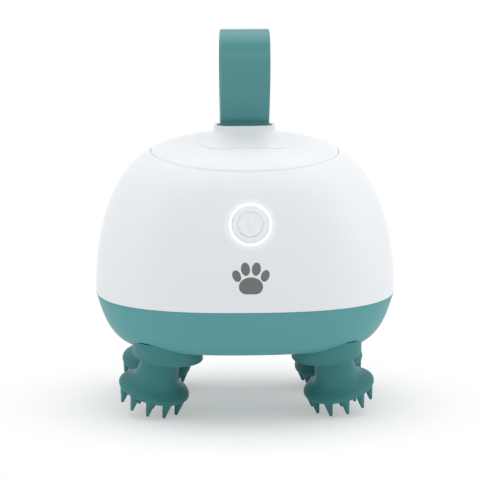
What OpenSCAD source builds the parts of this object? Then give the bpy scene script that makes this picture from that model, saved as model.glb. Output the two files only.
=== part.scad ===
// Cordless massager for pets: a dome-shaped hand unit with four turning,
// nibbed silicone heads, driven by one gear motor through a spur gear train.
// The front faces -Y, the unit stands on its lowest nibs at Z = 0.

/* [Body] */
// Width of the body, along X
body_w = 100; // [96:1:108]
// Depth of the body, along Y
body_d = 86; // [83:1:92]
// Height of the seam between the two housings above the ground
seam_z = 40; // [39.5:0.1:41]
// Height of the dome above the seam
dome_h = 51.6; // [50:0.1:56]
// Depth of the lower housing below the seam
bowl_h = 16.4; // [16:0.1:16.8]
// Squareness of the plan outline, 2 is an ellipse
plan_n = 2.5; // [2.3:0.05:2.8]
// Squareness of the dome's flank
dome_side_n = 3.7; // [3.4:0.05:4]
// Squareness of the dome's crown
dome_top_n = 2.07; // [1.99:0.01:2.25]
// Lean of the lower housing's wall over its depth
bowl_draft = 4.55; // [3.5:0.05:5]
// Width of the lower housing's rounded corner
bowl_corner = 6.9; // [6:0.1:9]
// Wall thickness of both housings
wall = 2.4; // [2:0.1:2.8]
// Thickness of the gasket in the seam
gasket_t = 0.3; // [0.2:0.1:0.5]
// How far the gasket lies inside the outer face
gasket_in = 0.7; // [0.5:0.1:1]

/* [Top panel and strap] */
// Radius of the round top panel
panel_r = 30.9; // [30:0.1:33]
// Gap round the top panel
panel_gap = 0.2; // [0.1:0.05:0.3]
// Width of the raised collar
collar_w = 20.6; // [20:0.2:24]
// Depth of the raised collar
collar_d = 9.4; // [8.8:0.2:11]
// Height of the collar above the crown of the dome
collar_h = 3.9; // [3:0.1:5]
// Squareness of the collar's outline, 2 is an ellipse
collar_n = 3.8; // [3.2:0.1:4.6]
// Width of the collar's flared foot
flare_w = 31; // [28:0.5:36]
// Depth of the collar's flared foot
flare_d = 40; // [30:0.5:42]
// Squareness of the outline of the flared foot
flare_n = 5; // [4:0.1:6]
// Tightness of the hollow curve between the foot and the collar
flare_curve = 3.8; // [2:0.1:5]
// Width of the silicone strap
strap_w = 16.4; // [14:0.2:16.4]
// Thickness of the silicone strap
strap_t = 2.1; // [1.8:0.1:2.2]
// Depth of the strap's loop
strap_loop_d = 17.5; // [14:0.5:22]
// Height of the top of the strap above the collar
strap_rise = 31.8; // [28:0.1:40]

/* [Power button] */
// Height of the button above the seam
button_h = 28.4; // [26:0.2:30]
// Radius of the button cap
button_r = 5.85; // [5:0.05:6.2]
// Outer radius of the lit ring round the button
ring_r = 7.3; // [7:0.1:7.8]
// Radius of the raised centre of the cap
button_eye_r = 3.9; // [3:0.1:4.5]
// Travel of the button
button_travel = 0.5; // [0.3:0.1:0.6]

/* [Massage heads] */
// Distance of a head's shaft from the middle plane, along X
head_x = 26.4; // [26:0.1:27.4]
// Radius of the upper round of a head
flange_r = 11.6; // [11:0.1:12]
// Height of the upper round's rim above the ground
flange_z = 21; // [20.4:0.1:21.6]
// Lean of the upper round's rim
flange_tilt = 8; // [4:0.5:10]
// Radius of the lower, nibbed round
disc_r = 12; // [11.6:0.05:12.4]
// Lean of the lower round and the neck
disc_tilt = 19; // [16:0.5:22]
// Direction of a left head's lowest side, from +X
lean_az = -49; // [-80:1:-40]
// Turn of the rear left head against the front left one
park_rl = -15; // [-40:1:20]
// Turn of the rear right head against the front right one
park_rr = -4; // [-40:1:20]
// How far the neck's root lies off the shaft, away from the lowest side
neck_shift = 2.8; // [1.6:0.1:3.2]
// Radius of the neck
neck_r = 6.4; // [6:0.1:7]
// Length of the outer nibs
nib_len = 5.6; // [5:0.1:6]
// Radius of a nib's root
nib_root_r = 1.45; // [1.2:0.05:1.6]
// Radius of a nib's tip
nib_tip_r = 0.55; // [0.4:0.05:0.7]
// Number of nibs in the outer ring
nib_count = 11; // [10:1:13]
// Radius of the outer ring of nibs
nib_ring_r = 10.1; // [9.7:0.1:10.2]

/* [Gear train] */
// Gear module
gear_m = 1; // [0.98:0.01:1.02]
// Teeth of a transfer gear
transfer_teeth = 26; // [26]
// Teeth of a head gear
head_teeth = 21; // [21]
// Teeth of the motor pinion
pinion_teeth = 14; // [14]
// Face width of the gears
gear_w = 5; // [4:0.1:5]
// Backlash along the pitch circle
backlash = 0.16; // [0.12:0.01:0.24]
// Radius of the steel shafts
shaft_r = 2; // [1.8:0.05:2.1]
// Radial running clearance of the shafts
run_gap = 0.04; // [0.02:0.01:0.08]
// Thickness of the gear plate
plate_t = 2; // [1.8:0.1:2.4]

/* [Drive and power] */
// Radius of the motor and its gearhead
motor_r = 9; // [8.5:0.1:9.1]
// Length of the gearhead
gearhead_h = 13; // [11:0.5:14]
// Length of the motor can
motor_h = 22; // [19:0.5:23]
// Radius of the battery cell
cell_r = 9.2; // [8.8:0.1:9.3]
// Length of the battery cell
cell_len = 65; // [60:0.5:66]
// Width of the charging socket
socket_w = 8.9; // [8.5:0.1:9.2]
// Height of the charging socket
socket_t = 3.2; // [3:0.1:3.4]
// Height of the charging socket above the seam
socket_h = 9; // [8.5:0.1:9.5]

/* [Hidden] */

white = [0.93, 0.94, 0.95];
teal = [0.40, 0.66, 0.66];
steel = [0.72, 0.73, 0.75];
nylon = [0.90, 0.88, 0.82];

// Small clearances shared by the pieces
touch = 0.05;
slip = 0.15;
press = 0.01;
eps = 0.01;
sides = 48;

// Body derived from the driving sizes
half_w = body_w / 2;
half_d = body_d / 2;
floor_z = seam_z - bowl_h;
rim_z = seam_z + gasket_t;
bowl_belly = 0.648;
dome_c = dome_h - gasket_t;
crown_z = seam_z + dome_h;

// Heads: the first outer nib stands beside the lowest side, and its tip is at Z = 0
nib_start = 0.416;
nib_az = nib_start * 360 / nib_count;
disc_z = nib_ring_r * cos(nib_az) * sin(disc_tilt) + (nib_len - nib_tip_r) * cos(disc_tilt) + nib_tip_r;
neck_len = (flange_z - disc_z) / cos(disc_tilt);
disc_off = neck_shift + neck_len * sin(disc_tilt);
disc_x = -disc_off * cos(lean_az);
disc_y = -disc_off * sin(lean_az);
pocket_depth = 3.6;
pocket_top = floor_z + pocket_depth;
pocket_r = flange_r + 0.3;
flange_top = pocket_top - 0.3;
roof_t = 1.8;
hub_r = 8.6;
hub_t = 2.6;
peg_r = 3.1;
peg_low = 3;
disc_edge = 0.3;
bell_half = 2.5;
bell_n = 2.6;
peg_top = neck_len + (flange_top - hub_t + 1.2 - flange_z) / cos(disc_tilt);

// Gear train: the transfer gears mesh on the middle plane
transfer_x = gear_m * transfer_teeth / 2;
head_centre = gear_m * (transfer_teeth + head_teeth) / 2;
head_y = sqrt(pow(head_centre, 2) - pow(head_x - transfer_x, 2));
pinion_centre = gear_m * (transfer_teeth + pinion_teeth) / 2;
pinion_az = 60;
pinion_x = -transfer_x + pinion_centre * cos(pinion_az);
pinion_y = pinion_centre * sin(pinion_az);
gear_gap = 0.3;
washer_t = 0.5;
bush_r = 3.5;
bush_flange_t = 0.6;
seal_t = 1.5;
boss_top = pocket_top + roof_t + 5.1;
gear_z = boss_top + bush_flange_t + washer_t + 2 * touch;
washer_z = gear_z - touch - washer_t;
plate_z = gear_z + gear_w + gear_gap;
plate_top = plate_z + plate_t;

// Screws that join the housings, and the posts that carry the gear plate
screw_ring_r = 28.3;
screw_az = 65;
boss_r = 3;
screw_r = 1.3;
pilot_hole = 0.9;
screw_head_r = 2.3;
screw_head_t = 1.6;
post_x = 37.5;
post_y = 29.5;
column_foot = plate_top + 0.5;
ledge_top = dome_z(0, panel_r) - 2.5;
ledge_t = 2.3;
ledge_in = 3;
skirt_t = 1.5;
screw_seat = floor_z + 3.4;

// Button frame: its place on the front of the dome, and the dome's slope there
button_z = seam_z + button_h;
button_k = pow(1 - pow((button_z - rim_z) / dome_c, dome_top_n), 1 / dome_side_n);
button_y = half_d * button_k;
slope_up = dome_top_n / dome_c * pow((button_z - rim_z) / dome_c, dome_top_n - 1);
slope_out = dome_side_n / half_d * pow(button_k, dome_side_n - 1);
button_tilt = atan(slope_up / slope_out);
ring_lip_r = ring_r + 1.3;
ring_hole_r = ring_r + 0.1;
ring_back = wall + 1.8;
board_depth = 9.2;
board_w = 15.6;
board_l = 27;
board_t = 1.2;
board_post = 11.4;
switch_w = 6;
switch_t = 3.4;

// Strap and its seat
collar_top = crown_z + collar_h;
foot_t = 0.3;
stem_t = 2 * strap_t;
slot_gap = 0.2;
boss_low = crown_z - wall - 2.4;
bar_w = 8;
bar_t = 3;
clamp_w = 31;
clamp_d = 13;
clamp_t = 1.8;
clamp_screw_x = 12;
strap_top = collar_top + strap_rise;

// Battery, cradle and motor places
cell_y = -12.6;
cradle_floor = 1.4;
cell_z = plate_top + cradle_floor + cell_r + touch;
motor_x = pinion_x;
motor_y = pinion_y;
pilot_r = 4.4;
ear_r = 2.6;
ear_t = 1.6;
ear_x = motor_r + 2.4;
ear_az = 12;

// Charging socket and its cover, on the rear of the upper housing
socket_z = seam_z + socket_h;
socket_len = 7;
cover_w = 13;
cover_h = 7.4;
cover_t = 1.3;
cover_gap = 0.25;
hinge_relief = 0.6;
cover_y = half_d * pow(1 - pow((socket_z + cover_h / 2 - rim_z) / dome_c, dome_top_n), 1 / dome_side_n) - 0.1;

function spow(v, e) = sign(v) * pow(abs(v), e);

// One point of the plan outline, for half sizes a and b
function plan(a, b, t) = [a * spow(cos(t), 2 / plan_n), b * spow(sin(t), 2 / plan_n)];
function outline(inset, n = sides) =
    [for (i = [0:n - 1]) plan(half_w - inset, half_d - inset, 360 * i / n)];

// Height of the dome's outer face over the point x, y
function plan_k(x, y) =
    pow(pow(abs(x) / half_w, plan_n) + pow(abs(y) / half_d, plan_n), 1 / plan_n);
function dome_z(x, y) =
    rim_z + dome_c * pow(max(0, 1 - pow(plan_k(x, y), dome_side_n)), 1 / dome_top_n);

// A ring of the dome's face from the seam (s = 0) up to the round opening (s = 1)
function dome_ring(s, inset, open_r) = [
    for (i = [0:sides - 1])
        let (
            p = plan(half_w - inset, half_d - inset, 360 * i / sides),
            k0 = open_r / norm(p),
            a = s * acos(pow(k0, dome_side_n / 2)),
            k = pow(cos(a), 2 / dome_side_n)
        )
        [p[0] * k, p[1] * k, rim_z + (dome_c - inset) * pow(sin(a), 2 / dome_top_n)]
];

// A ring of the lower housing's face from the flat underside (a = 90) to the seam (a = 0)
function bowl_ring(a, inset) =
    let (
        u = pow(sin(a), bowl_belly),
        d = inset + bowl_draft * u + (bowl_corner - inset / 2) * (1 - cos(a))
    )
    [for (i = [0:sides - 1])
        let (p = plan(half_w - d, half_d - d, 360 * i / sides))
        [p[0], p[1], seam_z - (bowl_h - inset) * u]];

// Involute gear: the polar angle of an involute at radius r, and one tooth's outline
function inv_angle(r, rb) =
    let (c = min(1, rb / r), a = acos(c)) tan(a) * 180 / PI - a;
function tooth_half(r, teeth) =
    let (rp = gear_m * teeth / 2, rb = rp * cos(20))
    90 / teeth - backlash / 4 / rp * 180 / PI + inv_angle(rp, rb) - inv_angle(max(r, rb), rb);
function gear_outline(teeth, turn) =
    let (
        rp = gear_m * teeth / 2,
        rb = rp * cos(20),
        rf = rp - 1.25 * gear_m,
        ra = rp + 0.92 * gear_m,
        r1 = max(rb, rf + 0.15),
        rs = [rf, r1, r1 + (ra - r1) * 0.35, r1 + (ra - r1) * 0.7, ra]
    )
    [for (i = [0:teeth - 1], j = [0:2 * len(rs) - 1])
        let (
            k = j < len(rs) ? j : 2 * len(rs) - 1 - j,
            side = j < len(rs) ? -1 : 1,
            a = turn + 360 * i / teeth + side * tooth_half(rs[k], teeth)
        )
        rs[k] * [cos(a), sin(a)]];

// Turn of gear b, so that it meshes with gear a across the direction az
function mesh_turn(az, turn_a, teeth_a, teeth_b) =
    az + 180 - (0.5 - (az - turn_a) * teeth_a / 360) * 360 / teeth_b;

left_turn = 0;
right_turn = mesh_turn(0, left_turn, transfer_teeth, transfer_teeth);
function head_dir(sx, sy) = atan2(sy * head_y, sx * (head_x - transfer_x));
function head_turn(sx, sy) =
    mesh_turn(head_dir(sx, sy), sx < 0 ? left_turn : right_turn, transfer_teeth, head_teeth);
pinion_turn = mesh_turn(pinion_az, left_turn, transfer_teeth, pinion_teeth);

// A solid through a list of rings with equally many points, capped or closed on itself
module loft(rings, loop = false) {
    n = len(rings[0]);
    m = len(rings);
    last = loop ? m - 1 : m - 2;
    walls = [
        for (i = [0:last], j = [0:n - 1])
            let (k = (i + 1) % m, q = (j + 1) % n)
            each [[i * n + j, k * n + j, k * n + q], [i * n + j, k * n + q, i * n + q]]
    ];
    caps = loop ? [] : [
        [for (j = [0:n - 1]) j],
        [for (j = [n - 1:-1:0]) (m - 1) * n + j]
    ];
    polyhedron(points = [for (r = rings, p = r) p], faces = concat(walls, caps), convexity = 8);
}

// A ring of two plan outlines
module plan_band(inset_out, inset_in) {
    difference() {
        polygon(outline(inset_out));
        polygon(outline(inset_in));
    }
}

// A flat shape with full round ends, along X
module stadium(w, h) {
    square([w - h, h], center = true);
    for (s = [-1, 1])
        translate([s * (w - h) / 2, 0])
            circle(d = h, $fn = 32);
}

// Places at the four housing screws
module at_housing_screws() {
    for (a = [screw_az, 180 - screw_az, 180 + screw_az, 360 - screw_az])
        rotate([0, 0, a])
            translate([screw_ring_r, 0, 0])
                children();
}

// Places at the four posts of the gear plate
module at_posts() {
    for (s = [-1, 1]) {
        translate([s * post_x, 0, 0])
            children();
        translate([0, s * post_y, 0])
            children();
    }
}

// Places at the four head shafts
module at_heads() {
    for (sx = [-1, 1], sy = [-1, 1])
        translate([sx * head_x, sy * head_y, 0])
            children();
}

// The button's own frame: its Z axis stands square on the dome's face
module at_button() {
    translate([0, -button_y, button_z])
        rotate([90 - button_tilt, 0, 0])
            children();
}

// Frame of the charging socket: its Z axis points out of the rear
module at_socket() {
    translate([0, cover_y, socket_z])
        rotate([-90, 0, 0])
            children();
}

// A pan-head screw hanging down from its head at the origin; in a pilot hole
// the shank has the hole's size
module screw(len, pilot = false) {
    difference() {
        cylinder(h = screw_head_t, r = screw_head_r, $fn = 32);
        translate([0, 0, screw_head_t - 0.8])
            cylinder(h = 1, r = 1, $fn = 6);
    }
    translate([0, 0, -len])
        cylinder(h = len + eps, r = pilot ? pilot_hole : screw_r, $fn = 24);
}

module upper_housing() {
    color(white)
        difference() {
            union() {
                loft(concat(
                    [for (s = [0:8]) dome_ring(s / 8, 0, panel_r)],
                    [for (s = [8:-1:0]) dome_ring(s / 8, wall, panel_r)]
                ), loop = true);
                panel_ledge();
                at_housing_screws()
                    translate([0, 0, column_foot])
                        cylinder(h = ledge_top - column_foot - eps, r = boss_r, $fn = 32);
                at_button()
                    for (s = [-1, 1])
                        translate([0, s * board_post, -board_depth])
                            cylinder(h = board_depth - wall, r = 2, $fn = 24);
                socket_frame();
            }
            at_button()
                translate([0, 0, -wall - 1.5])
                    cylinder(h = wall + 6, r = ring_hole_r, $fn = 64);
            at_button()
                for (s = [-1, 1])
                    translate([0, s * board_post, -board_depth - eps])
                        cylinder(h = 4, r = pilot_hole, $fn = 24);
            at_housing_screws()
                translate([0, 0, column_foot - eps])
                    cylinder(h = 12, r = screw_r, $fn = 24);
            at_socket()
                socket_cut();
        }
}

// Ledge below the round opening, on which the top panel rests
module panel_ledge() {
    difference() {
        translate([0, 0, ledge_top - ledge_t])
            cylinder(h = ledge_t, r = panel_r + skirt_t / 2, $fn = 96);
        translate([0, 0, ledge_top - ledge_t - eps])
            cylinder(h = ledge_t + 1, r = panel_r - ledge_in, $fn = 96);
    }
    loft(concat(
        [for (s = [0, 1]) drop_ring(s, skirt_t)],
        [for (s = [1, 0]) drop_ring(s, 0)]
    ), loop = true);
}

// A ring of the short wall that hangs from the opening's edge down to the ledge
function drop_ring(s, out) = [
    for (i = [0:sides - 1])
        let (
            p = plan(half_w, half_d, 360 * i / sides),
            q = p / norm(p) * (panel_r + out),
            top = dome_z(q[0], q[1]) - wall / 2,
            low = ledge_top - ledge_t
        )
        [q[0], q[1], low + (top - low) * s]
];

// Thickened frame that seats the socket and its cover inside the rear wall
module socket_frame() {
    at_socket()
        translate([0, 0, -5])
            linear_extrude(4)
                stadium(cover_w + 4, cover_h + 3);
}

// Pocket of the cover, with a relief below the hinge edge where the open cover leans
// down, and the bore of the socket
module socket_cut() {
    translate([0, 0, -cover_t - touch])
        linear_extrude(cover_t + 4)
            stadium(cover_w + 2 * cover_gap, cover_h + 2 * cover_gap);
    translate([0, hinge_relief, -cover_gap])
        linear_extrude(cover_gap + 4)
            stadium(cover_w + 2 * cover_gap, cover_h + 2 * cover_gap);
    translate([0, 0, -cover_t - 10])
        linear_extrude(11)
            stadium(socket_w + 2 * slip, socket_t + 2 * slip);
}

// A ring of the top panel at the radius r, lowered by drop from the dome's face
function panel_ring(r, drop) = [
    for (i = [0:sides - 1])
        let (p = r * [cos(360 * i / sides), sin(360 * i / sides)])
        [p[0], p[1], dome_z(p[0], p[1]) - drop]
];
function skirt_ring(r) = [
    for (i = [0:sides - 1])
        [r * cos(360 * i / sides), r * sin(360 * i / sides), ledge_top + touch]
];

// A ring of the flare that rises from its foot (w = 0) to the collar (w = 1)
function flare_ring(w, z_up = 0) =
    let (
        rise = 1 - pow(1 - pow(w, flare_curve), 1 / flare_curve),
        a = (flare_w + (collar_w - flare_w) * w) / 2,
        b = (flare_d + (collar_d - flare_d) * w) / 2,
        e = 2 / (flare_n + (collar_n - flare_n) * w)
    )
    [for (i = [0:sides - 1])
        let (
            t = 360 * i / sides,
            x = a * spow(cos(t), e),
            y = b * spow(sin(t), e),
            z0 = dome_z(x, y) + foot_t
        )
        [x, y, z0 + (collar_top - 0.5 - z0) * rise + z_up]];

module top_panel() {
    out_r = panel_r - panel_gap;
    color(white)
        difference() {
            union() {
                loft(concat(
                    [for (s = [0.13, 0.5]) panel_ring(s * out_r, wall)],
                    [panel_ring(out_r - wall, wall), skirt_ring(out_r - wall), skirt_ring(out_r)],
                    [for (s = [1, 0.86, 0.7, 0.5, 0.3, 0.1]) panel_ring(s * out_r, 0)]
                ));
                loft(concat(
                    [flare_ring(0, -foot_t - wall / 2)],
                    [for (w = [0, 0.3, 0.6, 0.8, 0.9, 0.96, 0.99, 1]) flare_ring(w)],
                    [flare_ring(1, 0.5)]
                ));
                translate([-clamp_w / 2, -clamp_d / 2, boss_low])
                    cube([clamp_w, clamp_d, crown_z - wall / 2 - 0.5 - boss_low]);
            }
            translate([-strap_w / 2 - slot_gap, -stem_t / 2 - slot_gap, boss_low - 1])
                cube([strap_w + 2 * slot_gap, stem_t + 2 * slot_gap, collar_top - boss_low + 3]);
            for (s = [-1, 1])
                translate([s * clamp_screw_x, 0, boss_low - eps])
                    cylinder(h = 2.6, r = pilot_hole, $fn = 24);
        }
}

// Half of the strap's centre line, from the collar (t = 0) to the top (t = 180)
strap_z0 = collar_top + 1;
strap_bulge = (strap_loop_d / 2 - 0.75 * strap_t) / 0.74;
function strap_mid(t) = [
    strap_t / 2 * cos(t / 2) + strap_bulge * sin(t) * pow(sin(max(t, 0) / 2), 1.2),
    strap_z0 + (strap_top - strap_t / 2 - strap_z0) * (1 - cos(t)) / 2
];
function strap_side(t, off) =
    let (
        d = strap_mid(min(t + 1, 180)) - strap_mid(max(t - 1, 0)),
        u = t == 180 ? [0, 1] : [d[1], -d[0]] / norm(d)
    )
    strap_mid(t) + u * off;
function mirrored(pts) = [for (i = [len(pts) - 1:-1:0]) [-pts[i][0], pts[i][1]]];

module strap_loop() {
    bar_top = boss_low - touch;
    outer = [for (t = [18:6:174]) strap_side(t, strap_t / 2)];
    inner = [for (t = [15:5:175]) strap_side(t, -strap_t / 2)];
    top_out = [0, strap_top];
    top_in = [0, strap_top - strap_t];
    half_bar = [[bar_w / 2, bar_top - bar_t], [bar_w / 2, bar_top], [strap_t, bar_top]];
    color(teal)
        translate([-strap_w / 2, 0, 0])
            rotate([90, 0, 90])
                linear_extrude(strap_w)
                    difference() {
                        polygon(concat(
                            half_bar, [[strap_t, strap_z0]], outer, [top_out],
                            mirrored(outer), [[-strap_t, strap_z0]], mirrored(half_bar)
                        ));
                        polygon(concat(
                            [[0, strap_mid(9)[1]]], inner, [top_in], mirrored(inner)
                        ));
                    }
}

// Saddle screwed under the panel, which traps the bar at the strap's root
module strap_clamp() {
    bar_room = bar_t + 2 * touch;
    low = boss_low - touch - bar_room - clamp_t;
    color("gainsboro")
        difference() {
            translate([-clamp_w / 2, -clamp_d / 2, low])
                cube([clamp_w, clamp_d, bar_room + clamp_t]);
            translate([-strap_w / 2 - slot_gap, -bar_w / 2 - slot_gap, low + clamp_t])
                cube([strap_w + 2 * slot_gap, bar_w + 2 * slot_gap, bar_room + 1]);
            for (s = [-1, 1])
                translate([s * clamp_screw_x, 0, low - 1])
                    cylinder(h = bar_room + clamp_t + 2, r = screw_r + 0.1, $fn = 24);
        }
}

module clamp_screws() {
    clamp_low = boss_low - touch - bar_t - 2 * touch - clamp_t;
    color(steel)
        for (s = [-1, 1])
            translate([s * clamp_screw_x, 0, clamp_low])
                rotate([180, 0, 0])
                    screw(boss_low - clamp_low + 2.2, pilot = true);
}

module power_button() {
    lip_t = 0.75;
    lip_z = -ring_back - slip - lip_t;
    stem_end = -board_depth + switch_t + button_travel + touch;
    color(white)
        at_button() {
            translate([0, 0, lip_z])
                cylinder(h = lip_t, r = button_r + 0.8, $fn = 64);
            translate([0, 0, lip_z + lip_t - touch])
                cylinder(h = 0.25 + touch - lip_z - lip_t, r = button_r, $fn = 64);
            cylinder(h = 0.45, r1 = button_eye_r + 0.1, r2 = button_eye_r - 0.1, $fn = 64);
            translate([0, 0, stem_end])
                cylinder(h = 1, r = 1.6, $fn = 32);
        }
}

module light_ring() {
    color([1, 1, 1])
        at_button()
            difference() {
                union() {
                    translate([0, 0, -ring_back])
                        cylinder(h = ring_back + 0.1, r = ring_r, $fn = 64);
                    translate([0, 0, -ring_back])
                        cylinder(h = 0.8, r = ring_lip_r, $fn = 64);
                }
                translate([0, 0, -ring_back - 1])
                    cylinder(h = ring_back + 2, r = button_r + slip, $fn = 64);
            }
}

module circuit_board() {
    color("seagreen")
        at_button()
            difference() {
                translate([-board_w / 2, -board_l / 2, -board_depth - board_t])
                    cube([board_w, board_l, board_t]);
                for (s = [-1, 1])
                    translate([0, s * board_post, -board_depth - board_t - 1])
                        cylinder(h = board_t + 2, r = screw_r + 0.1, $fn = 24);
            }
}

module tact_switch() {
    color("dimgray")
        at_button() {
            translate([-switch_w / 2, -switch_w / 2, -board_depth])
                cube([switch_w, switch_w, switch_t - 0.4]);
            translate([0, 0, -board_depth + switch_t - 0.4 - eps])
                cylinder(h = 0.4 + eps, r = 1.7, $fn = 32);
        }
}

module ring_leds() {
    led = [2, 2, 1];
    color("white")
        at_button()
            for (a = [45:90:315])
                rotate([0, 0, a])
                    translate([ring_r - led[0] / 2, -led[1] / 2, -board_depth])
                        cube(led);
}

module board_screws() {
    color(steel)
        at_button()
            for (s = [-1, 1])
                translate([0, s * board_post, -board_depth - board_t])
                    rotate([180, 0, 0])
                        screw(board_t + 3.4, pilot = true);
}

module housing_gasket() {
    color("silver")
        translate([0, 0, seam_z])
            linear_extrude(gasket_t)
                plan_band(gasket_in, wall);
}

module lower_housing() {
    color(teal)
        difference() {
            union() {
                loft(concat(
                    [for (a = [90:-11.25:0]) bowl_ring(a, 0)],
                    [for (a = [0:11.25:90]) bowl_ring(a, wall)]
                ));
                translate([0, 0, seam_z - 4])
                    linear_extrude(7)
                        plan_band(wall + slip, wall + slip + 1.2);
                intersection() {
                    loft([for (a = [90:-15:0]) bowl_ring(a, wall / 3)]);
                    at_heads()
                        translate([0, 0, floor_z + wall / 2])
                            cylinder(h = pocket_depth + roof_t - wall / 2, r = pocket_r + 1.7, $fn = 96);
                }
                at_heads()
                    translate([0, 0, pocket_top + eps])
                        cylinder(h = boss_top - pocket_top - eps, r = bush_r + 1.8, $fn = 48);
                for (s = [-1, 1])
                    translate([s * transfer_x, 0, floor_z + wall / 2])
                        cylinder(h = washer_z - touch - floor_z - wall / 2, r = shaft_r + 2.2, $fn = 48);
                at_posts()
                    translate([0, 0, floor_z + 2])
                        cylinder(h = plate_z - floor_z - 2, r = boss_r, $fn = 32);
                at_housing_screws() {
                    translate([0, 0, floor_z + 1])
                        cylinder(h = 4.6, r = boss_r + 1.2, $fn = 32);
                    translate([0, 0, floor_z + 1])
                        cylinder(h = column_foot - 0.2 - floor_z - 1, r = boss_r, $fn = 32);
                }
            }
            at_heads() {
                translate([0, 0, floor_z - 5])
                    cylinder(h = pocket_depth + 5, r = pocket_r, $fn = 96);
                translate([0, 0, pocket_top - 1])
                    cylinder(h = seal_t + 1 + touch, r = bush_r + 1, $fn = 48);
                translate([0, 0, pocket_top - 1])
                    cylinder(h = 12, r = bush_r + press, $fn = 48);
            }
            for (s = [-1, 1])
                translate([s * transfer_x, 0, floor_z + wall])
                    cylinder(h = 20, r = shaft_r + press, $fn = 48);
            at_posts()
                translate([0, 0, plate_z - 8])
                    cylinder(h = 9, r = pilot_hole, $fn = 24);
            at_housing_screws() {
                translate([0, 0, floor_z - 1])
                    cylinder(h = screw_seat - floor_z + 1, r = screw_head_r + 0.3, $fn = 32);
                translate([0, 0, floor_z - 1])
                    cylinder(h = 30, r = screw_r + 0.2, $fn = 24);
            }
        }
}

module gear_plate() {
    color("lightgray")
        difference() {
            translate([0, 0, plate_z])
                linear_extrude(plate_t)
                    polygon(outline(7));
            translate([0, 0, plate_z - 1]) {
                at_heads()
                    cylinder(h = plate_t + 2, r = shaft_r + run_gap, $fn = 48);
                for (s = [-1, 1])
                    translate([s * transfer_x, 0, 0])
                        cylinder(h = plate_t + 2, r = shaft_r + press, $fn = 48);
                translate([motor_x, motor_y, 0])
                    cylinder(h = plate_t + 2, r = pilot_r + slip, $fn = 48);
                at_motor_ears()
                    cylinder(h = plate_t + 2, r = pilot_hole, $fn = 24);
                at_posts()
                    cylinder(h = plate_t + 2, r = screw_r + 0.2, $fn = 24);
                at_housing_screws()
                    cylinder(h = plate_t + 2, r = boss_r + 0.3, $fn = 32);
            }
        }
}

module plate_screws() {
    color(steel)
        at_posts()
            translate([0, 0, plate_top])
                screw(plate_t + 7, pilot = true);
}

module housing_screws() {
    color(steel)
        at_housing_screws()
            translate([0, 0, screw_seat])
                rotate([180, 0, 0])
                    screw(column_foot + 9 - screw_seat);
}

module shaft_bushes() {
    color([0.80, 0.62, 0.36])
        at_heads()
            difference() {
                union() {
                    translate([0, 0, pocket_top + seal_t + 2 * touch])
                        cylinder(h = boss_top - pocket_top - seal_t - touch, r = bush_r, $fn = 48);
                    translate([0, 0, boss_top])
                        cylinder(h = bush_flange_t, r = bush_r + 1.1, $fn = 48);
                }
                translate([0, 0, pocket_top])
                    cylinder(h = 12, r = shaft_r + run_gap, $fn = 48);
            }
}

module shaft_seals() {
    color([0.15, 0.15, 0.16])
        at_heads()
            difference() {
                translate([0, 0, pocket_top])
                    cylinder(h = seal_t, r = bush_r + 1, $fn = 48);
                translate([0, 0, pocket_top - 1])
                    cylinder(h = seal_t + 2, r = shaft_r + run_gap, $fn = 48);
                translate([0, 0, pocket_top - 1])
                    cylinder(h = 1.6, r = shaft_r + 1, $fn = 48);
            }
}

module washer() {
    translate([0, 0, washer_z])
        difference() {
            cylinder(h = washer_t, r = shaft_r + 2, $fn = 48);
            translate([0, 0, -1])
                cylinder(h = washer_t + 2, r = shaft_r + 0.1, $fn = 48);
        }
}

module thrust_washers() {
    color([0.25, 0.25, 0.27]) {
        at_heads()
            washer();
        for (s = [-1, 1])
            translate([s * transfer_x, 0, 0])
                washer();
    }
}

module transfer_axles() {
    color(steel)
        for (s = [-1, 1])
            translate([s * transfer_x, 0, floor_z + wall])
                cylinder(h = plate_top - floor_z - wall, r = shaft_r, $fn = 48);
}

// A spur gear with a hub, a recessed web and round holes through the web
module gear(teeth, turn, bore, holes) {
    root_r = gear_m * (teeth / 2 - 1.25);
    hub = shaft_r + 2.4;
    web_in = 1.3;
    translate([0, 0, gear_z])
        difference() {
            linear_extrude(gear_w)
                polygon(gear_outline(teeth, turn));
            translate([0, 0, -1])
                cylinder(h = gear_w + 2, r = bore, $fn = 48);
            if (holes > 0)
                for (z = [-1, gear_w - web_in])
                    translate([0, 0, z])
                        difference() {
                            cylinder(h = web_in + 1, r = root_r - 1.4, $fn = 64);
                            translate([0, 0, -1])
                                cylinder(h = web_in + 3, r = hub, $fn = 48);
                        }
            for (i = [0:1:holes - 1])
                rotate([0, 0, turn + 360 * i / holes])
                    translate([(root_r - 1.4 + hub) / 2, 0, -1])
                        cylinder(h = gear_w + 2, r = (root_r - 1.4 - hub) / 3, $fn = 32);
        }
}

module left_transfer_gear() {
    color(nylon)
        translate([-transfer_x, 0, 0])
            gear(transfer_teeth, left_turn, shaft_r + run_gap, 6);
}

module right_transfer_gear() {
    color(nylon)
        translate([transfer_x, 0, 0])
            gear(transfer_teeth, right_turn, shaft_r + run_gap, 6);
}

module head_gear(sx, sy) {
    color(nylon)
        translate([sx * head_x, sy * head_y, 0])
            gear(head_teeth, head_turn(sx, sy), shaft_r + press, 5);
}

module drive_shaft(sx, sy) {
    low = flange_top - hub_t - 1.8;
    color(steel)
        translate([sx * head_x, sy * head_y, low])
            cylinder(h = plate_top - low, r = shaft_r, $fn = 48);
}

// Frame of one head: the shaft is its Z axis, right heads mirror left ones, and the
// rear heads are parked at a turn of their own
module at_head(sx, sy) {
    park = sy < 0 ? 0 : (sx < 0 ? park_rl : park_rr);
    translate([sx * head_x, sy * head_y, 0])
        mirror([sx > 0 ? 1 : 0, 0, 0])
            rotate([0, 0, park])
                children();
}

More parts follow.
